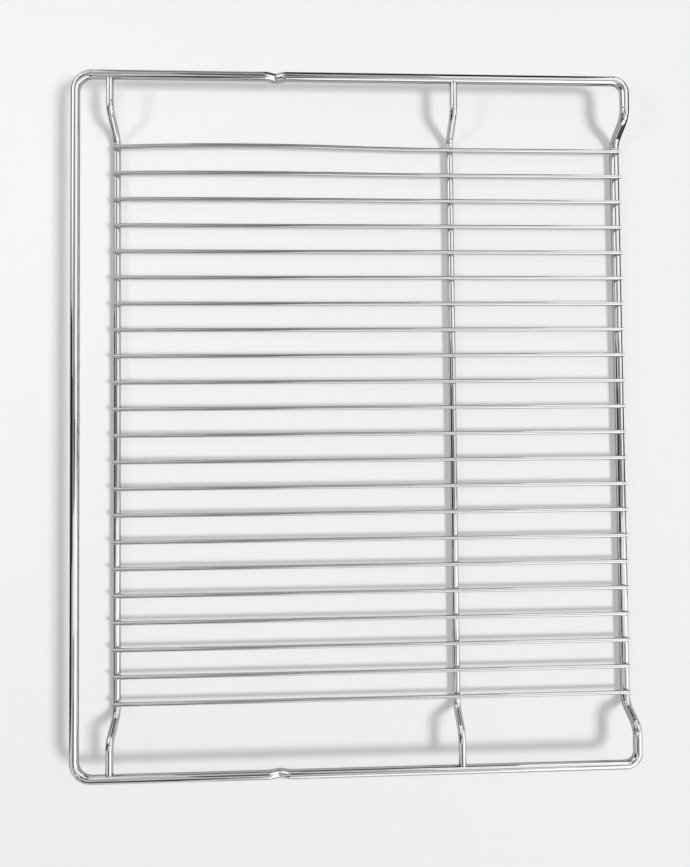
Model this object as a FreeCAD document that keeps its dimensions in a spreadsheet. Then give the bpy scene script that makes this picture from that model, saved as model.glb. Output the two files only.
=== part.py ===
# Oven shelf rack: a chromed steel wire shelf that slides on an oven's side runners.
# One bent frame wire carries two cranked cross supports, and thin straight wires are
# welded on top of the supports and the front bar, one step below the side rails.
# Frame: X across the oven, -Y to the door, +Z up, origin under the middle of the rack.
import FreeCAD, Part
import Sketcher
import math
import os

Vector = FreeCAD.Vector
Constraint = Sketcher.Constraint

# Driving dimensions, in millimetres and degrees
SIZES = (
    ("overall_width", 465.0, "over the outer sides of the two side rails"),
    ("overall_depth", 374.0, "over the outer sides of the rear and front bars"),
    ("frame_wire", 6.0, "diameter of the frame wire"),
    ("support_wire", 5.0, "diameter of the two cross supports"),
    ("grid_wire", 2.8, "diameter of the grid wires"),
    ("rail_lift", 17.0, "rail centre line above the front bar's centre line"),
    ("rear_corner_radius", 11.5, "centre line radius of the frame's rear corners"),
    ("front_corner_radius", 8.5, "centre line radius of the frame's front corners"),
    ("front_crank_angle", 57.0, "slope of the front bar's cranks, from the horizontal"),
    ("support_crank_angle", 50.0, "slope of the supports' cranks, from the horizontal"),
    ("crank_radius", 10.0, "centre line radius of the crank bends"),
    ("front_shoulder", 10.1, "straight length between a front corner and its crank"),
    ("wire_count", 22, "number of grid wires"),
    ("front_margin", 2.1, "front bar's flat length past the outermost grid wire"),
    ("support_margin", 2.2, "a support's flat length past the outermost grid wire"),
    ("rear_support_inset", 22.2, "rear bar's centre line to the rear support's"),
    ("middle_support_inset", 250.9, "rear bar's centre line to the middle support's"),
    ("rear_setback", 0.9, "grid wire ends short of the rear support's rear side"),
    ("front_setback", 1.0, "grid wire ends short of the front bar's front side"),
    ("weld_reach", 1.5, "support ends past the rail's inner side, into its curve"),
    ("weld_flare", 0.8, "weld collar's height over the support wire"),
    ("weld_length", 1.6, "weld collar's length along the support wire"),
    ("notch_inset", 131.4, "rear bar's centre line to the stop notch in each rail"),
    ("notch_depth", 2.6, "dip of the rail's centre line at the notch"),
    ("notch_length", 12.0, "length of the notch between its shoulders"),
    ("notch_radius", 5.0, "centre line radius at the bottom of the notch"),
    ("shoulder_radius", 8.0, "centre line radius of the notch's shoulders"),
    ("bow", 2.0, "sideways bow of the one bent grid wire"),
    ("bow_crest", 85.0, "rear support's centre line to the crest of the bow"),
)

# Places that follow from the driving dimensions
LAYOUT = (
    ("rail_x", "(sizes.overall_width - sizes.frame_wire) / 2"),
    ("rear_y", "(sizes.overall_depth - sizes.frame_wire) / 2"),
    ("front_z", "sizes.frame_wire / 2"),
    ("rail_z", "front_z + sizes.rail_lift"),
    ("support_z", "sizes.frame_wire - sizes.support_wire / 2"),
    ("support_end_z", "rail_z - (sizes.frame_wire - sizes.support_wire) / 2"),
    ("grid_z", "sizes.frame_wire + sizes.grid_wire / 2"),
    ("front_reach", "sizes.crank_radius * tan(sizes.front_crank_angle / 2)"),
    ("front_slope", "sizes.rail_lift / tan(sizes.front_crank_angle)"),
    ("front_top", "rail_x - sizes.front_corner_radius - sizes.front_shoulder"),
    ("front_flat", "front_top - front_slope - 2 * front_reach"),
    ("grid_half", "front_flat - sizes.front_margin"),
    ("grid_pitch", "2 * grid_half / (round(sizes.wire_count) - 1)"),
    ("support_flat", "grid_half + sizes.support_margin"),
    ("support_reach", "sizes.crank_radius * tan(sizes.support_crank_angle / 2)"),
    ("support_slope", "(support_end_z - support_z) / tan(sizes.support_crank_angle)"),
    ("support_top", "support_flat + support_slope + 2 * support_reach"),
    ("rail_side", "rail_x - sizes.frame_wire / 2"),
    ("support_end", "rail_side + sizes.weld_reach"),
    ("rear_support_y", "rear_y - sizes.rear_support_inset"),
    ("middle_support_y", "rear_y - sizes.middle_support_inset"),
    ("grid_rear", "rear_support_y + sizes.support_wire / 2 - sizes.rear_setback"),
    ("grid_front", "sizes.front_setback - sizes.overall_depth / 2"),
    ("grid_length", "grid_rear - grid_front"),
)


def make_sheet(doc):
    """The spreadsheet of driving dimensions: a name, a number and a note in each row."""
    sheet = doc.addObject("Spreadsheet::Sheet", "sizes")
    for row, (name, number, note) in enumerate(SIZES, start=1):
        sheet.set(f"A{row}", name)
        sheet.set(f"B{row}", str(number))
        sheet.setAlias(f"B{row}", name)
        sheet.set(f"C{row}", note)
    doc.recompute()
    return sheet


def make_layout(doc):
    """The set of derived places, each bound to the driving dimensions."""
    layout = doc.addObject("App::VarSet", "layout")
    for name, rule in LAYOUT:
        layout.addProperty("App::PropertyFloat", name)
        layout.setExpression(name, rule)
    doc.recompute()
    return layout


def bent_path(points, radii):
    """A path of straight runs through the points, with a tangent arc at each inner point."""
    edges = []
    start = points[0]
    for before, corner, after, radius in zip(points, points[1:], points[2:], radii):
        back = (before - corner).normalize()
        onward = (after - corner).normalize()
        half_angle = back.getAngle(onward) / 2
        reach = radius / math.tan(half_angle)
        inward = (back + onward).normalize() * (radius / math.sin(half_angle) - radius)
        first = corner + back * reach
        last = corner + onward * reach
        edges.append(Part.LineSegment(start, first).toShape())
        edges.append(Part.Arc(first, corner + inward, last).toShape())
        start = last
    edges.append(Part.LineSegment(start, points[-1]).toShape())
    return Part.Wire(edges)


def sweep_wire(doc, name, path_shape, diameter, facing):
    """A round wire, with a diameter from the sheet, swept along a path from its first point."""
    path = doc.addObject("Part::Feature", name + "_path")
    path.Shape = path_shape
    section = doc.addObject("Part::Circle", name + "_section")
    section.setExpression("Radius", f"sizes.{diameter} / 2")
    turn = FreeCAD.Rotation(Vector(0, 0, 1), facing)
    section.Placement = FreeCAD.Placement(path_shape.OrderedVertexes[0].Point, turn)
    rod = doc.addObject("Part::Sweep", name)
    rod.Sections = [section]
    rod.Spine = (path, [f"Edge{n + 1}" for n in range(len(path_shape.Edges))])
    rod.Solid = True
    return rod


def make_frame(doc, sheet, layout):
    """The frame wire: rear bar, notched side rails and front bar, in one closed loop."""
    rail_x, rail_z = layout.rail_x, layout.rail_z
    rear_y, front_y = layout.rear_y, -layout.rear_y
    notch_y = rear_y - sheet.notch_inset
    notch_half = sheet.notch_length / 2
    right = [
        Vector(rail_x, rear_y, rail_z),
        Vector(rail_x, notch_y + notch_half, rail_z),
        Vector(rail_x, notch_y, rail_z - sheet.notch_depth),
        Vector(rail_x, notch_y - notch_half, rail_z),
        Vector(rail_x, front_y, rail_z),
        Vector(layout.front_top - layout.front_reach, front_y, rail_z),
        Vector(layout.front_flat + layout.front_reach, front_y, layout.front_z),
    ]
    notch_bends = [sheet.shoulder_radius, sheet.notch_radius, sheet.shoulder_radius]
    crank_bends = [sheet.crank_radius, sheet.crank_radius]
    bends = [sheet.rear_corner_radius, *notch_bends, sheet.front_corner_radius, *crank_bends]
    left = [Vector(-point.x, point.y, point.z) for point in reversed(right)]
    butt_weld = Vector(0, rear_y, rail_z)
    path = bent_path([butt_weld, *right, *left, butt_weld], bends + bends[::-1])
    return sweep_wire(doc, "frame", path, "frame_wire", Vector(1, 0, 0))


def origin_plane(body, role):
    return next(item for item in body.Origin.OriginFeatures if item.Role == role)


def new_sketch(body, name, role):
    sketch = body.newObject("Sketcher::SketchObject", name)
    sketch.AttachmentSupport = (origin_plane(body, role), [""])
    sketch.MapMode = "FlatFace"
    return sketch


def bind(sketch, rule, constraint):
    """Adds a dimension to a sketch and binds it to the rule."""
    index = sketch.addConstraint(constraint)
    sketch.setExpression(f"Constraints[{index}]", rule)


def draw_centre_line(body, sheet, layout):
    """Half of a support's centre line: flat run, crank bends and the raised end run."""
    sketch = new_sketch(body, body.Name + "_line", "XZ_Plane")
    angle = math.radians(sheet.support_crank_angle)
    radius = sheet.crank_radius
    flat, top, end = layout.support_flat, layout.support_top, layout.support_end
    low, high = layout.support_z, layout.support_end_z
    foot_bend = Part.Circle(Vector(flat, low + radius), Vector(0, 0, 1), radius)
    top_bend = Part.Circle(Vector(top, high - radius), Vector(0, 0, 1), radius)
    foot_arc = Part.ArcOfCircle(foot_bend, -math.pi / 2, angle - math.pi / 2)
    top_arc = Part.ArcOfCircle(top_bend, math.pi / 2, angle + math.pi / 2)
    sketch.addGeometry([
        Part.LineSegment(Vector(0, low), Vector(flat, low)),
        foot_arc,
        Part.LineSegment(foot_arc.EndPoint, top_arc.EndPoint),
        top_arc,
        Part.LineSegment(Vector(top, high), Vector(end, high)),
    ])
    sketch.addConstraint([
        Constraint("Tangent", 0, 2, 1, 1),
        Constraint("Tangent", 1, 2, 2, 1),
        Constraint("Tangent", 2, 2, 3, 2),
        Constraint("Tangent", 3, 1, 4, 1),
        Constraint("PointOnObject", 0, 1, -2),
        Constraint("Horizontal", 0),
        Constraint("Horizontal", 4),
    ])
    bind(sketch, "layout.support_z", Constraint("DistanceY", 0, 1, low))
    bind(sketch, "layout.support_flat", Constraint("DistanceX", 0, 2, flat))
    bind(sketch, "sizes.crank_radius", Constraint("Radius", 1, radius))
    bind(sketch, "sizes.support_crank_angle", Constraint("Angle", 2, angle))
    bind(sketch, "sizes.crank_radius", Constraint("Radius", 3, radius))
    bind(sketch, "layout.support_end_z", Constraint("DistanceY", 4, 2, high))
    bind(sketch, "layout.support_end", Constraint("DistanceX", 4, 2, end))
    return sketch


def draw_section(body, sheet, layout):
    """A support's round section, at the middle of its flat run."""
    sketch = new_sketch(body, body.Name + "_section", "YZ_Plane")
    radius = sheet.support_wire / 2
    sketch.addGeometry(Part.Circle(Vector(0, layout.support_z), Vector(0, 0, 1), radius))
    sketch.addConstraint(Constraint("PointOnObject", 0, 3, -2))
    bind(sketch, "layout.support_z", Constraint("DistanceY", 0, 3, layout.support_z))
    bind(sketch, "sizes.support_wire / 2", Constraint("Radius", 0, radius))
    return sketch


def draw_collar(body, sheet, layout):
    """Half section of the conical weld collar, drawn from the end run's own axis."""
    sketch = new_sketch(body, body.Name + "_collar", "XZ_Plane")
    sketch.setExpression("AttachmentOffset.Base.y", "layout.support_end_z")
    inner = sheet.support_wire / 2
    outer = inner + sheet.weld_flare
    start, end = layout.rail_side - sheet.weld_length, layout.support_end
    sketch.addGeometry([
        Part.LineSegment(Vector(start, 0), Vector(start, inner)),
        Part.LineSegment(Vector(start, inner), Vector(end, outer)),
        Part.LineSegment(Vector(end, outer), Vector(end, 0)),
        Part.LineSegment(Vector(end, 0), Vector(start, 0)),
    ])
    sketch.addConstraint([
        Constraint("Coincident", 0, 2, 1, 1),
        Constraint("Coincident", 1, 2, 2, 1),
        Constraint("Coincident", 2, 2, 3, 1),
        Constraint("Coincident", 3, 2, 0, 1),
        Constraint("Vertical", 0),
        Constraint("Vertical", 2),
        Constraint("PointOnObject", 0, 1, -1),
        Constraint("PointOnObject", 2, 2, -1),
    ])
    bind(sketch, "layout.rail_side - sizes.weld_length", Constraint("DistanceX", 0, 1, start))
    bind(sketch, "sizes.support_wire / 2", Constraint("DistanceY", 0, 2, inner))
    bind(sketch, "layout.support_end", Constraint("DistanceX", 1, 2, end))
    bind(sketch, "sizes.support_wire / 2 + sizes.weld_flare",
         Constraint("DistanceY", 1, 2, outer))
    return sketch


def make_support(doc, name, frame, sheet, layout):
    """A cross support: bent wire with a weld collar at each end, saddled to the rails."""
    body = doc.addObject("PartDesign::Body", name + "_blank")
    line = draw_centre_line(body, sheet, layout)
    section = draw_section(body, sheet, layout)
    rod = body.newObject("PartDesign::AdditivePipe", name + "_rod")
    rod.Profile = section
    rod.Spine = (line, [f"Edge{n + 1}" for n in range(line.GeometryCount)])
    collar = body.newObject("PartDesign::Revolution", name + "_weld")
    collar.Profile = draw_collar(body, sheet, layout)
    collar.ReferenceAxis = (collar.Profile[0], ["H_Axis"])
    collar.Angle = 360
    both_ends = body.newObject("PartDesign::Mirrored", name + "_ends")
    both_ends.Originals = [rod, collar]
    both_ends.MirrorPlane = (origin_plane(body, "YZ_Plane"), [""])
    body.Tip = both_ends
    body.setExpression("Placement.Base.y", f"layout.{name}_y")
    support = doc.addObject("Part::Cut", name)
    support.Base = body
    support.Tool = frame
    return support


def straight_rod(doc, name, place):
    """A straight grid wire, laid along Y on top of the bars at its place in the row."""
    rod = doc.addObject("Part::Cylinder", name)
    rod.Placement.Rotation = FreeCAD.Rotation(Vector(0, 0, 1), Vector(0, 1, 0))
    rod.setExpression("Radius", "sizes.grid_wire / 2")
    rod.setExpression("Height", "layout.grid_length")
    rod.setExpression("Placement.Base.x", f"layout.grid_half - {place} * layout.grid_pitch")
    rod.setExpression("Placement.Base.y", "layout.grid_front")
    rod.setExpression("Placement.Base.z", "layout.grid_z")
    return rod


def bowed_rod(doc, name, sheet, layout):
    """The outermost grid wire, bowed outwards between the rear and middle supports."""
    grid_x, bow = layout.grid_half, sheet.bow
    crest_y = layout.rear_support_y - sheet.bow_crest
    foot_y = layout.middle_support_y
    turn_y = (crest_y + foot_y) / 2
    rear_radius = (sheet.bow_crest ** 2 + bow ** 2) / (2 * bow)
    turn_radius = ((crest_y - turn_y) ** 2 + (bow / 2) ** 2) / bow

    def on_crest(y, radius):
        drop = radius - math.sqrt(radius ** 2 - (y - crest_y) ** 2)
        return Vector(grid_x + bow - drop, y, layout.grid_z)

    def on_foot(y):
        rise = turn_radius - math.sqrt(turn_radius ** 2 - (y - foot_y) ** 2)
        return Vector(grid_x + rise, y, layout.grid_z)

    def middle(first, last):
        return (first + last) / 2

    foot = on_foot(foot_y)
    front_end = Vector(grid_x, layout.grid_front, layout.grid_z)
    crest = on_crest(crest_y, rear_radius)
    rear_end = on_crest(layout.grid_rear, rear_radius)
    turn = on_foot(turn_y)
    path = Part.Wire([
        Part.LineSegment(front_end, foot).toShape(),
        Part.Arc(foot, on_foot(middle(foot_y, turn_y)), turn).toShape(),
        Part.Arc(turn, on_crest(middle(turn_y, crest_y), turn_radius), crest).toShape(),
        Part.Arc(crest, on_crest(middle(crest_y, layout.grid_rear), rear_radius), rear_end).toShape(),
    ])
    return sweep_wire(doc, name, path, "grid_wire", Vector(0, 1, 0))


def make_grid(doc, sheet, layout):
    """The row of grid wires, the first of them bowed."""
    names = [f"grid_wire_{place + 1:02d}" for place in range(round(sheet.wire_count))]
    straight = [straight_rod(doc, name, place) for place, name in enumerate(names) if place > 0]
    return [bowed_rod(doc, names[0], sheet, layout), *straight]


def check_document(doc, pieces):
    """Stops on any failed object, and on a piece that isn't one sound solid."""
    for item in doc.Objects:
        if "Invalid" in item.State or "Error" in item.State:
            raise RuntimeError(f"{item.Label} failed: {item.State}")
    for piece in pieces:
        shape = piece.Shape
        if shape.isNull() or not shape.isValid() or len(shape.Solids) != 1:
            raise RuntimeError(f"{piece.Label} isn't one sound solid")


def main():
    doc = FreeCAD.newDocument("oven_shelf_rack")
    sheet = make_sheet(doc)
    layout = make_layout(doc)
    frame = make_frame(doc, sheet, layout)
    rear_support = make_support(doc, "rear_support", frame, sheet, layout)
    middle_support = make_support(doc, "middle_support", frame, sheet, layout)
    grid = make_grid(doc, sheet, layout)
    doc.recompute()
    pieces = [frame, rear_support, middle_support, *grid]
    check_document(doc, pieces)
    os.makedirs("parts", exist_ok=True)
    for piece in pieces:
        piece.Shape.exportStep(f"parts/{piece.Label}.step")
    print(f"{len(pieces)} pieces, {sum(piece.Shape.Volume for piece in pieces) / 1000:.1f} cm3")


main()
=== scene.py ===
import math

import bmesh
import bpy
from mathutils import Matrix, Vector


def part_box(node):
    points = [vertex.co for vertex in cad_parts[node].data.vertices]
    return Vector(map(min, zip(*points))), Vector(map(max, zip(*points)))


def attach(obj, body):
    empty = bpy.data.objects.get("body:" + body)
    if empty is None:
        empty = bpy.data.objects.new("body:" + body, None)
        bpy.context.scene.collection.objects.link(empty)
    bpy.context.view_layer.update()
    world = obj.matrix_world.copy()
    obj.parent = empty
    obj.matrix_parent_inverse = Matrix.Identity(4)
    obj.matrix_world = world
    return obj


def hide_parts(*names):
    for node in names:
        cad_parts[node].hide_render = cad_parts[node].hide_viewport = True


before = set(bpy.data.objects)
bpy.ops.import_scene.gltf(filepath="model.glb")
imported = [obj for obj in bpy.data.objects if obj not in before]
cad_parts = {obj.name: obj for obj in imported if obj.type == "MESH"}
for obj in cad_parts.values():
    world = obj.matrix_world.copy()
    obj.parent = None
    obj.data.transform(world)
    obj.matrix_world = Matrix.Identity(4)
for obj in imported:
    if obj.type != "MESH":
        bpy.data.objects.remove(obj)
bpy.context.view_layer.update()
mm = 0.001
across, rearward, upward = Vector((1, 0, 0)), Vector((0, 1, 0)), Vector((0, 0, 1))
lastWire = "grid_wire_22"                       # straight, at the -X end of the row
nodeSpacing = 190                               # between columns in the node editor
print("frame loaded,", len(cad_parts), "nodes")


def nodeAt(tree, kind, column):
    node = tree.nodes.new(kind)
    node.location = (column * nodeSpacing, 0)
    return node


# chrome plating over drawn steel wire

plating = {
    "colour": (0.615, 0.626, 0.640, 1),
    "underShadeColour": (0.330, 0.330, 0.332, 1),    # painted shade: plating darker where it faces down, for the dark floor and shadow it mirrors
    "underShadeFrom": (0.50, 0.05),                  # upward share of the normal where the painted shade starts and ends
    "edgeTint": (0.75, 0.75, 0.76, 1),          # chromium mirrors less at a glancing angle
    "weldColour": (0.340, 0.335, 0.330, 1),     # scale left round a weld
    "weldRoughness": 0.25,                      # added to the plating's own
    "roughness": (0.030, 0.075),                # clean, hazed
    "hazeScale": 60,                            # all scales are per metre
    "hazeDetail": 6,
    "hazeRange": (0.35, 0.75),                  # noise that counts as clean and as hazed
    "drawScale": 2600,                          # fine lines that the drawing die leaves
    "drawDetail": 3,
    "drawStretch": 0.006,                       # share of that scale along the wire, so the lines run long
    "drawHeight": 0.00002 * mm,
    "waveScale": 45,                            # wire is never quite straight
    "waveDetail": 2,
    "waveHeight": 0.012 * mm,
    "crinkleScale": 480,                        # marks that the bending tool leaves
    "crinkleDetail": 2,
    "crinkleHeight": 0.45 * mm,
}


def makePlating():
    material = bpy.data.materials.new("chromedWire")
    material.use_nodes = True
    tree = material.node_tree
    shader = tree.nodes["Principled BSDF"]
    shader.inputs["Metallic"].default_value = 1
    shader.inputs["Specular Tint"].default_value = plating["edgeTint"]
    link = tree.links.new

    def attribute(name, column):
        node = nodeAt(tree, "ShaderNodeAttribute", column)
        node.attribute_name = name
        return node

    def noise(vector, kind, column):
        node = nodeAt(tree, "ShaderNodeTexNoise", column)
        node.inputs["Scale"].default_value = plating[kind + "Scale"]
        node.inputs["Detail"].default_value = plating[kind + "Detail"]
        link(vector, node.inputs["Vector"])
        return node.outputs["Fac"]

    def bump(height, kind, column, below=None):
        node = nodeAt(tree, "ShaderNodeBump", column)
        node.inputs["Distance"].default_value = plating[kind + "Height"]
        link(height, node.inputs["Height"])
        if below:
            link(below.outputs["Normal"], node.inputs["Normal"])
        return node

    def tintMix(first, second, factor, column):
        node = nodeAt(tree, "ShaderNodeMix", column)
        node.data_type = "RGBA"
        if isinstance(first, tuple):
            node.inputs["A"].default_value = first
        else:
            link(first, node.inputs["A"])
        node.inputs["B"].default_value = second
        link(factor, node.inputs["Factor"])
        return node.outputs["Result"]

    drawn = attribute("drawn", -8).outputs["Vector"]
    weld = attribute("weld", -8).outputs["Fac"]
    worked = attribute("worked", -8).outputs["Fac"]

    rough = nodeAt(tree, "ShaderNodeMapRange", -4)
    rough.inputs["From Min"].default_value, rough.inputs["From Max"].default_value = plating["hazeRange"]
    rough.inputs["To Min"].default_value, rough.inputs["To Max"].default_value = plating["roughness"]
    link(noise(drawn, "haze", -6), rough.inputs["Value"])
    dull = nodeAt(tree, "ShaderNodeMath", -3)
    dull.operation = "MULTIPLY_ADD"
    dull.inputs[1].default_value = plating["weldRoughness"]
    link(weld, dull.inputs[0])
    link(rough.outputs["Result"], dull.inputs[2])
    link(dull.outputs["Value"], shader.inputs["Roughness"])

    # painted shade: the plating's colour turns darker as the wire's normal turns downward
    normalParts = nodeAt(tree, "ShaderNodeSeparateXYZ", -6)
    link(nodeAt(tree, "ShaderNodeNewGeometry", -7).outputs["Normal"], normalParts.inputs["Vector"])
    underShade = nodeAt(tree, "ShaderNodeMapRange", -5)
    underShade.inputs["From Min"].default_value, underShade.inputs["From Max"].default_value = plating["underShadeFrom"]
    link(normalParts.outputs["Z"], underShade.inputs["Value"])
    shadedPlating = tintMix(plating["colour"], plating["underShadeColour"], underShade.outputs["Result"], -4)
    link(tintMix(shadedPlating, plating["weldColour"], weld, -3), shader.inputs["Base Color"])

    stretch = nodeAt(tree, "ShaderNodeMapping", -7)
    stretch.inputs["Scale"].default_value = (1, 1, plating["drawStretch"])
    link(drawn, stretch.inputs["Vector"])
    lines = bump(noise(stretch.outputs["Vector"], "draw", -6), "draw", -4)
    waves = bump(noise(drawn, "wave", -6), "wave", -3, lines)
    marks = nodeAt(tree, "ShaderNodeMath", -5)
    marks.operation = "MULTIPLY"
    link(noise(drawn, "crinkle", -6), marks.inputs[0])
    link(worked, marks.inputs[1])
    crinkles = bump(marks.outputs["Value"], "crinkle", -2, waves)
    link(crinkles.outputs["Normal"], shader.inputs["Normal"])
    return material


chromedWire = makePlating()
print("plating made")


# a bender that feeds round wire and bends it, one ring of points after another

benderSetup = {
    "stepAngle": math.radians(3.5),             # turn of one ring in a bend
    "leastSteps": 2,
    "capSegments": 3,                           # in the rounding of a cut end
    "beadSegments": (16, 8),                    # round the bead, from top to bottom
    "mergeDistance": 0.001 * mm,
}


class WireBender:
    def __init__(self, thickness, sides, start, heading):
        self.bm = bmesh.new()
        self.drawn = self.bm.verts.layers.float_vector.new("drawn")     # place on the wire before it was bent
        self.worked = self.bm.verts.layers.float.new("worked")          # how much the tool marked it
        self.weld = self.bm.verts.layers.float.new("weld")
        self.centre, self.heading = start.copy(), heading.copy()
        self.fed, self.swell = 0, 1
        place = Matrix.Translation(start) @ heading.to_track_quat("Z", "X").to_matrix().to_4x4()
        made = bmesh.ops.create_circle(self.bm, segments=sides, radius=thickness / 2, matrix=place)
        self.verts, self.edges = made["verts"], self.bm.edges[:]
        for vert in self.verts:
            vert[self.drawn] = place.inverted() @ vert.co

    def takeRing(self, geom, length, worked, weld):
        self.verts = [item for item in geom if isinstance(item, bmesh.types.BMVert)]
        ring = set(self.verts)
        edges = [item for item in geom if isinstance(item, bmesh.types.BMEdge)]
        self.edges = [edge for edge in edges if ring.issuperset(edge.verts)]
        self.fed += length
        for vert in self.verts:
            vert[self.drawn].z = self.fed
            vert[self.worked] = worked
            vert[self.weld] = weld

    def feed(self, length, swell=1, weld=0, shift=Vector()):
        made = bmesh.ops.extrude_edge_only(self.bm, edges=self.edges)
        self.takeRing(made["geom"], length, 0, weld)
        step = self.heading * length + shift
        bmesh.ops.translate(self.bm, verts=self.verts, vec=step)
        self.centre += step
        growth = swell / self.swell
        bmesh.ops.scale(self.bm, verts=self.verts, vec=(growth,) * 3, space=Matrix.Translation(-self.centre))
        self.swell = swell

    def bend(self, toward, angle, radius, worked):
        inward = (toward - toward.project(self.heading)).normalized()
        pivot, axis = self.centre + inward * radius, self.heading.cross(inward)
        steps = max(benderSetup["leastSteps"], round(angle / benderSetup["stepAngle"]))
        turn = Matrix.Rotation(angle / steps, 3, axis)
        for step in range(1, steps + 1):
            made = bmesh.ops.spin(self.bm, geom=self.verts + self.edges, cent=pivot, axis=axis,
                                  angle=angle / steps, steps=1)
            strain = worked * math.sin(math.pi * step / steps) ** 0.5 if step < steps else 0
            self.takeRing(made["geom_last"], radius * angle / steps, strain, 0)
            self.centre = pivot + turn @ (self.centre - pivot)
            self.heading = turn @ self.heading

    def bead(self, place, size):
        around, down = benderSetup["beadSegments"]
        shape = Matrix.Translation(place) @ Matrix.Diagonal((*size, 1))
        made = bmesh.ops.create_uvsphere(self.bm, u_segments=around, v_segments=down, radius=0.5, matrix=shape)
        for vert in made["verts"]:
            vert[self.drawn] = vert.co - place
            vert[self.weld] = 1

    def cap(self, edges, rounding):
        bmesh.ops.contextual_create(self.bm, geom=edges)
        bmesh.ops.bevel(self.bm, geom=edges, offset=rounding, segments=benderSetup["capSegments"],
                        profile=0.5, affect="EDGES", material=-1)

    def mirrorAcross(self):
        everything = self.bm.verts[:] + self.bm.edges[:] + self.bm.faces[:]
        bmesh.ops.mirror(self.bm, geom=everything, matrix=Matrix.Identity(4),
                         merge_dist=benderSetup["mergeDistance"], axis="X")

    def finish(self, name, node):
        bmesh.ops.remove_doubles(self.bm, verts=self.bm.verts[:], dist=benderSetup["mergeDistance"])
        bmesh.ops.recalc_face_normals(self.bm, faces=self.bm.faces[:])
        for face in self.bm.faces:
            face.smooth = len(face.verts) <= 4      # a cut end stays flat
        addPiece(self.bm, name, node)


def addPiece(bm, name, *nodes):
    mesh = bpy.data.meshes.new(name)
    bm.to_mesh(mesh)
    bm.free()
    mesh.materials.append(chromedWire)
    piece = bpy.data.objects.new(name, mesh)
    piece.visible_diffuse = False       # bright plating throws back on the floor about what it hides
    bpy.context.scene.collection.objects.link(piece)
    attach(piece, "root")
    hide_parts(*nodes)


def bendReach(angle, radius):           # from the corner of a bend to where its arc starts
    return radius * math.tan(angle / 2)


# frame wire: rear bar, notched side rails, corners and cranked front bar in one loop

frameWire = {
    "thickness": 6.0 * mm,
    "sides": 56,
    "rearCorner": 11.5 * mm,                    # bend radii, at the middle of the wire
    "frontCorner": 8.5 * mm,
    "cornerMarks": 0.4,                         # marks of the bending tool, up to 1
    "crankAngle": math.radians(57),
    "crankRadius": 10 * mm,
    "crankMarks": 1,
    "frontShoulder": 10.1 * mm,                 # straight between a front corner and its crank
    "notchInset": 131.4 * mm,                   # rear bar to the stop notch
    "notchDepth": 2.6 * mm,
    "notchLength": 12 * mm,
    "notchRadius": 5 * mm,
    "notchMarks": 0.4,
    "shoulderRadius": 8 * mm,                   # where the rail turns down into the notch
    "shoulderMarks": 0.2,
    "buttSwell": 1.03,                          # butt weld in the middle of the rear bar
    "buttLength": 1.2 * mm,
    "buttDullness": 0.2,
}
frameLow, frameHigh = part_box("frame")
wireHalf = frameWire["thickness"] / 2
railX, rearY, railZ = frameHigh.x - wireHalf, frameHigh.y - wireHalf, frameHigh.z - wireHalf
frontY, frontZ = frameLow.y + wireHalf, frameLow.z + wireHalf


def bendFrame():
    setup = frameWire
    corner = math.pi / 2
    slope = math.atan2(setup["notchDepth"], setup["notchLength"] / 2)
    shoulder, dip = (slope, setup["shoulderRadius"]), (2 * slope, setup["notchRadius"])
    crank = (setup["crankAngle"], setup["crankRadius"])
    notchY = rearY - setup["notchInset"]
    notchStart = setup["notchLength"] / 2 + bendReach(*shoulder)
    notchSide = math.hypot(setup["notchLength"] / 2, setup["notchDepth"])
    notchRun = notchSide - bendReach(*shoulder) - bendReach(*dip)
    drop = railZ - frontZ

    wire = WireBender(setup["thickness"], setup["sides"], Vector((0, rearY, railZ)), across)
    inset = (rearward + upward) * wireHalf * (setup["buttSwell"] - 1)       # ground flush at the rear and on top
    wire.feed(setup["buttLength"], setup["buttSwell"], setup["buttDullness"], -inset)
    wire.feed(setup["buttLength"], shift=inset)
    wire.feed(railX - setup["rearCorner"] - wire.centre.x)
    wire.bend(-rearward, corner, setup["rearCorner"], setup["cornerMarks"])
    wire.feed(wire.centre.y - notchY - notchStart)
    wire.bend(-upward, *shoulder, setup["shoulderMarks"])
    wire.feed(notchRun)
    wire.bend(upward, *dip, setup["notchMarks"])
    wire.feed(notchRun)
    wire.bend(-upward, *shoulder, setup["shoulderMarks"])
    wire.feed(wire.centre.y - frontY - setup["frontCorner"])
    wire.bend(-across, corner, setup["frontCorner"], setup["cornerMarks"])
    wire.feed(setup["frontShoulder"])
    wire.bend(-upward, *crank, setup["crankMarks"])
    wire.feed(drop / math.sin(setup["crankAngle"]) - 2 * bendReach(*crank))
    wire.bend(upward, *crank, setup["crankMarks"])
    wire.feed(wire.centre.x)
    wire.mirrorAcross()
    wire.finish("frameWire", "frame")


bendFrame()
print("frame bent")


# cross supports: cranked up at both ends and welded to the rails' inner sides

crossSupport = {
    "thickness": 5.0 * mm,
    "sides": 48,
    "margin": 2.2 * mm,                         # flat past the outermost grid wire
    "crankAngle": math.radians(50),
    "crankRadius": 10 * mm,
    "crankMarks": 1,
    "weldLength": 1.4 * mm,                     # hollow flare of the weld against the rail
    "weldSwell": 1.14,
    "weldSink": 1.5 * mm,
    "weldRings": 5,
}


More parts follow.
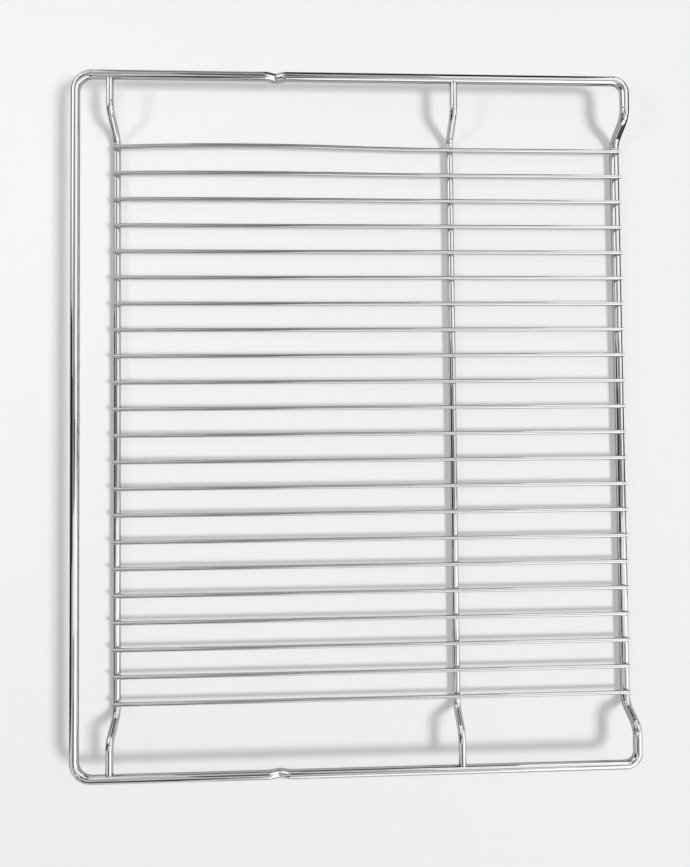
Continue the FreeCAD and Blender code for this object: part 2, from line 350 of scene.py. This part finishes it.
def bendSupport(node, name):
    setup = crossSupport
    low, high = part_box(node)
    half = setup["thickness"] / 2
    wireLow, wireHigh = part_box(lastWire)
    flat = -(wireLow.x + wireHigh.x) / 2 + setup["margin"]
    start = Vector((0, (low.y + high.y) / 2, low.z + half))
    rise = railZ - wireHalf + half - start.z
    crank = (setup["crankAngle"], setup["crankRadius"])

    wire = WireBender(setup["thickness"], setup["sides"], start, across)
    wire.feed(flat)
    wire.bend(upward, *crank, setup["crankMarks"])
    wire.feed(rise / math.sin(setup["crankAngle"]) - 2 * bendReach(*crank))
    wire.bend(-upward, *crank, setup["crankMarks"])
    wire.feed(railX - wireHalf - setup["weldLength"] - wire.centre.x)
    rings = setup["weldRings"]
    for ring in range(1, rings + 1):
        flare = 1 - math.sqrt(1 - (ring / rings) ** 2)
        swell = 1 + (setup["weldSwell"] - 1) * flare
        wire.feed((setup["weldLength"] + setup["weldSink"]) / rings, swell, ring / rings)
    wire.mirrorAcross()
    wire.finish(name, node)


bendSupport("rear_support", "rearSupport")
bendSupport("middle_support", "middleSupport")
print("supports bent")


# grid wires: thin straight wires on top of the supports and the front bar

gridWire = {
    "count": 22,
    "sides": 32,
    "endRounding": 0.35 * mm,
    "bows": {1: 2.0 * mm, 2: 0.8 * mm, 3: 0.4 * mm},    # pushed sideways in use
    "bowCrest": 85 * mm,                        # in front of the rear support
    "bowRings": 28,
    "weldHalf": 1.2 * mm,                       # dull stretch on each side of a weld
    "weldDullness": 0.35,
    "nugget": Vector((3.3, 2.6, 1.3)) * mm,     # metal pressed out between the wires by the weld
}


def barMiddle(node):
    low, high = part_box(node)
    return (low.y + high.y) / 2


middleY, supportY = barMiddle("middle_support"), barMiddle("rear_support")
barPlaces = (frontY, middleY, supportY)


def bowAt(y, bow):                      # two arcs from the middle support to the crest, one on to the rear
    if not bow or y <= middleY:
        return 0
    crest = supportY - gridWire["bowCrest"]
    turn = (crest + middleY) / 2
    turnRadius = ((crest - turn) ** 2 + (bow / 2) ** 2) / bow
    if y <= turn:
        return turnRadius - math.sqrt(turnRadius ** 2 - (y - middleY) ** 2)
    rearRadius = (gridWire["bowCrest"] ** 2 + bow ** 2) / (2 * bow)
    radius = turnRadius if y <= crest else rearRadius
    return bow - radius + math.sqrt(radius ** 2 - (y - crest) ** 2)


def layWire(number):
    setup = gridWire
    node = f"grid_wire_{number:02d}"
    low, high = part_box(node)
    thickness = high.z - low.z
    start = Vector((low.x + thickness / 2, low.y, (low.z + high.z) / 2))
    if number == 1:
        start.x = -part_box(lastWire)[0].x - thickness / 2    # its own box may hold the bow
    bow = setup["bows"].get(number, 0)
    stops = {low.y: 0, high.y: 0}       # places along the wire, and how dull each is
    for bar in barPlaces:
        for half in (-2, -1, 0, 1, 2):
            place = bar + half * setup["weldHalf"] / 2
            if low.y < place < high.y:
                stops[place] = (1 - abs(half) / 2) * setup["weldDullness"]
    if bow:
        for ring in range(1, setup["bowRings"]):
            stops.setdefault(middleY + (supportY - middleY) * ring / setup["bowRings"], 0)

    wire = WireBender(thickness, setup["sides"], start, rearward)
    firstRim = wire.edges
    for place in sorted(stops)[1:]:
        side = start.x + bowAt(place, bow) - wire.centre.x
        wire.feed(place - wire.centre.y, weld=stops[place], shift=across * side)
    wire.cap(wire.edges, setup["endRounding"])
    wire.cap(firstRim, setup["endRounding"])
    for bar in barPlaces:
        wire.bead(Vector((start.x, bar, low.z)), setup["nugget"])
    wire.finish(f"gridWire{number:02d}", node)


for number in range(1, gridWire["count"] + 1):
    layWire(number)
print("grid laid")


# floor and light tent

studio = {
    "floorColour": (0.875, 0.880, 0.880, 1),
    "floorRoughness": 0.9,
    "floorGloss": 0.1,
    "floorSize": 5.0,
    "tentRim": (0.04, (0.885, 0.890, 0.892, 1)),        # height in the tent and colour, from the horizon
    "tentSide": (0.35, (0.86, 0.865, 0.87, 1)),
    "tentShoulder": (0.78, (0.80, 0.804, 0.81, 1)),
    "tentTop": (1.0, (0.42, 0.423, 0.428, 1)),
    "tentOnFloor": 0.64,                        # share of the tent's light that reaches the floor
    "middle": (0, 0, 0),                        # what lamps and cards face if they have no aim
}


def stagePlane(name, size, place, material):
    bm = bmesh.new()
    bmesh.ops.create_grid(bm, x_segments=1, y_segments=1, size=0.5,
                          matrix=place @ Matrix.Diagonal((*size, 1, 1)))
    mesh = bpy.data.meshes.new(name)
    bm.to_mesh(mesh)
    bm.free()
    mesh.materials.append(material)
    plane = bpy.data.objects.new(name, mesh)
    bpy.context.scene.collection.objects.link(plane)
    return plane


def makeFloor():
    material = bpy.data.materials.new("paleFloor")
    material.use_nodes = True
    shader = material.node_tree.nodes["Principled BSDF"]
    shader.inputs["Base Color"].default_value = studio["floorColour"]
    shader.inputs["Roughness"].default_value = studio["floorRoughness"]
    shader.inputs["Specular IOR Level"].default_value = studio["floorGloss"]
    stagePlane("floor", (studio["floorSize"],) * 2, Matrix.Identity(4), material)


def makeTent():
    world = bpy.data.worlds.new("lightTent")
    bpy.context.scene.world = world
    world.use_nodes = True
    tree = world.node_tree
    link = tree.links.new
    background = tree.nodes["Background"]
    place = nodeAt(tree, "ShaderNodeTexCoord", -4)
    split = nodeAt(tree, "ShaderNodeSeparateXYZ", -3)
    ramp = nodeAt(tree, "ShaderNodeValToRGB", -2)
    stops = ramp.color_ramp.elements
    stops[0].position, stops[0].color = studio["tentRim"]
    stops[1].position, stops[1].color = studio["tentTop"]
    for height, colour in (studio["tentSide"], studio["tentShoulder"]):
        stops.new(height).color = colour
    link(place.outputs["Generated"], split.inputs["Vector"])
    link(split.outputs["Z"], ramp.inputs["Fac"])
    link(ramp.outputs["Color"], background.inputs["Color"])
    rays = nodeAt(tree, "ShaderNodeLightPath", -4)
    level = nodeAt(tree, "ShaderNodeMapRange", -2)
    level.inputs["To Min"].default_value = 1
    level.inputs["To Max"].default_value = studio["tentOnFloor"]
    link(rays.outputs["Is Diffuse Ray"], level.inputs["Value"])
    link(level.outputs["Result"], background.inputs["Strength"])


# lamps that light the floor: place, size and share of the light on it

softboxes = {
    "mainBox": {"at": (-2.20, -6.80, 8.40), "size": (2.62, 2.50), "share": 0.37},
    "stripBox": {"at": (0.00, -6.60, 8.80), "size": (11.5, 2.00), "share": 0.13},
    "rearBox": {"at": (0.05, 1.10, 0.95), "aim": (0.17, 0.18, 0), "size": (0.16, 0.15), "share": 0.12,
                "spread": math.radians(44)},
}


def facing(setup):
    aim = setup.get("aim", studio["middle"])
    back = Vector(setup["at"]) - Vector(aim)
    turn = back.to_track_quat("Z", "Y").to_matrix().to_4x4()
    return Matrix.Translation(setup["at"]) @ turn @ Matrix.Rotation(setup.get("roll", 0), 4, "Z")


def makeLights():
    for name, setup in softboxes.items():
        light = bpy.data.lights.new(name, "AREA")
        light.shape = "RECTANGLE"
        light.size, light.size_y = setup["size"]
        reach = Vector(setup["at"]) - Vector(setup.get("aim", studio["middle"]))
        light.energy = setup["share"] * math.pi ** 2 * reach.length ** 3 / reach.z
        if "spread" in setup:
            light.spread = setup["spread"]
            half = light.spread / 2
            light.energy *= 1 - half / math.tan(half)     # a narrow beam is brighter along its middle
        lamp = bpy.data.objects.new(name, light)
        bpy.context.scene.collection.objects.link(lamp)
        lamp.matrix_world = facing(setup)
        lamp.visible_camera = lamp.visible_glossy = False      # the plating mirrors the cards instead


# pale screens, dark flags and mats round the rack, which only its plating shows

cards = {
    "frontScreenLeft": {"at": (-0.75, -1.15, 1.10), "size": (1.30, 1.20), "glow": 1.90},
    "frontScreenRight": {"at": (0.55, -1.15, 1.10), "size": (1.30, 1.20), "glow": 1.50},
    "sideScreen": {"at": (-1.10, -0.38, 0.60), "size": (1.05, 0.76), "glow": 1.65},
    "cornerScreen": {"at": (0.75, 0.90, 0.80), "size": (0.75, 0.80), "glow": 1.65},
    "farScreen": {"at": (1.20, -0.60, 0.62), "size": (0.90, 0.70), "glow": 1.60},
    "topScreen": {"at": (0.75, -0.60, 1.30), "aim": (0.75, -0.60, 0), "size": (1.00, 0.70), "glow": 1.30},
    "overScreen": {"at": (-0.33, -0.05, 1.35), "aim": (-0.33, -0.05, 0), "size": (0.30, 1.10), "glow": 1.20},
    "rearFlag": {"at": (-0.12, 0.70, 0.30), "aim": (-0.12, 0, 0.30), "size": (0.62, 0.60), "glow": 0.02},
    "rearLowFlag": {"at": (0.47, 0.70, 0.07), "aim": (0.47, 0, 0.07), "size": (0.56, 0.14), "glow": 0.03},
    "rearMat": {"at": (-0.15, 0.47, 0.001), "aim": (-0.15, 0.47, 0), "size": (1.60, 0.46), "glow": 0.08},
    "standFlag": {"at": (-0.06, 0.80, 0.55), "size": (0.34, 0.90), "glow": 0.14},
    "frontFlag": {"at": (0.38, -0.62, 0.08), "aim": (0.38, 0, 0.08), "size": (0.95, 0.16), "glow": 0.10},
    "frontMat": {"at": (0.35, -0.405, 0.001), "aim": (0.35, -0.405, 0), "size": (0.95, 0.43), "glow": 0.04},
    "lowFlag": {"at": (-0.95, -0.42, 0.09), "aim": (0, 0, 0.09), "size": (1.40, 0.18), "glow": 0.08},
    "farFlag": {"at": (0.50, -0.11, 0.15), "aim": (0, -0.11, 0.15), "size": (0.36, 0.30), "glow": 0.03},
    "farMat": {"at": (0.385, -0.11, 0.001), "aim": (0.385, -0.11, 0), "size": (0.23, 0.36), "glow": 0.06},
    "greyFlag": {"at": (0.50, 0.16, 0.15), "aim": (0, 0.16, 0.15), "size": (0.18, 0.30), "glow": 0.28},
    "overFlag": {"at": (0.42, 0.19, 1.20), "aim": (0.42, 0.19, 0), "roll": 0.12,
                 "size": (0.90, 0.24), "glow": 0.14},
    "cameraFlag": {"at": (-0.02, 0.04, 0.48), "size": (0.11, 0.17), "glow": 0.10},
    "leanFlag": {"at": (-0.55, 0.23, 0.68), "aim": (0, 0.23, 0.68), "roll": -0.20,
                 "size": (0.27, 0.90), "glow": 0.03},
}


def makeCards():
    for name, setup in cards.items():
        material = bpy.data.materials.new(name)
        material.use_nodes = True
        tree = material.node_tree
        tree.nodes.remove(tree.nodes["Principled BSDF"])
        glow = nodeAt(tree, "ShaderNodeEmission", -1)
        glow.inputs["Strength"].default_value = setup["glow"]
        tree.links.new(glow.outputs["Emission"], tree.nodes["Material Output"].inputs["Surface"])
        card = stagePlane(name, setup["size"], facing(setup), material)
        card.visible_camera = card.visible_diffuse = card.visible_shadow = False


# camera over the rack, with the +X rail at the top of the picture

view = {
    "eye": (-21.03 * mm, 26.03 * mm, 454.26 * mm),
    "tilt": (-0.0281, -0.0405, -0.0086),        # small turn off straight down, as a rotation vector
    "lens": 27.364,
    "sensor": 36,
    "clip": (0.01, 50),
}


def makeCamera():
    camera = bpy.data.cameras.new("camera")
    camera.lens, camera.sensor_width = view["lens"], view["sensor"]
    camera.clip_start, camera.clip_end = view["clip"]
    eye = bpy.data.objects.new("camera", camera)
    bpy.context.scene.collection.objects.link(eye)
    tilt = Vector(view["tilt"])
    right, down, forward = Matrix.Rotation(tilt.length, 3, tilt) @ Matrix((-rearward, -across, -upward))
    turn = Matrix((right, -down, -forward)).transposed()
    eye.matrix_world = Matrix.Translation(view["eye"]) @ turn.to_4x4()
    bpy.context.scene.camera = eye


makeFloor()
makeTent()
makeLights()
makeCards()
makeCamera()
bpy.context.scene.view_settings.view_transform = "Standard"
print("studio set")
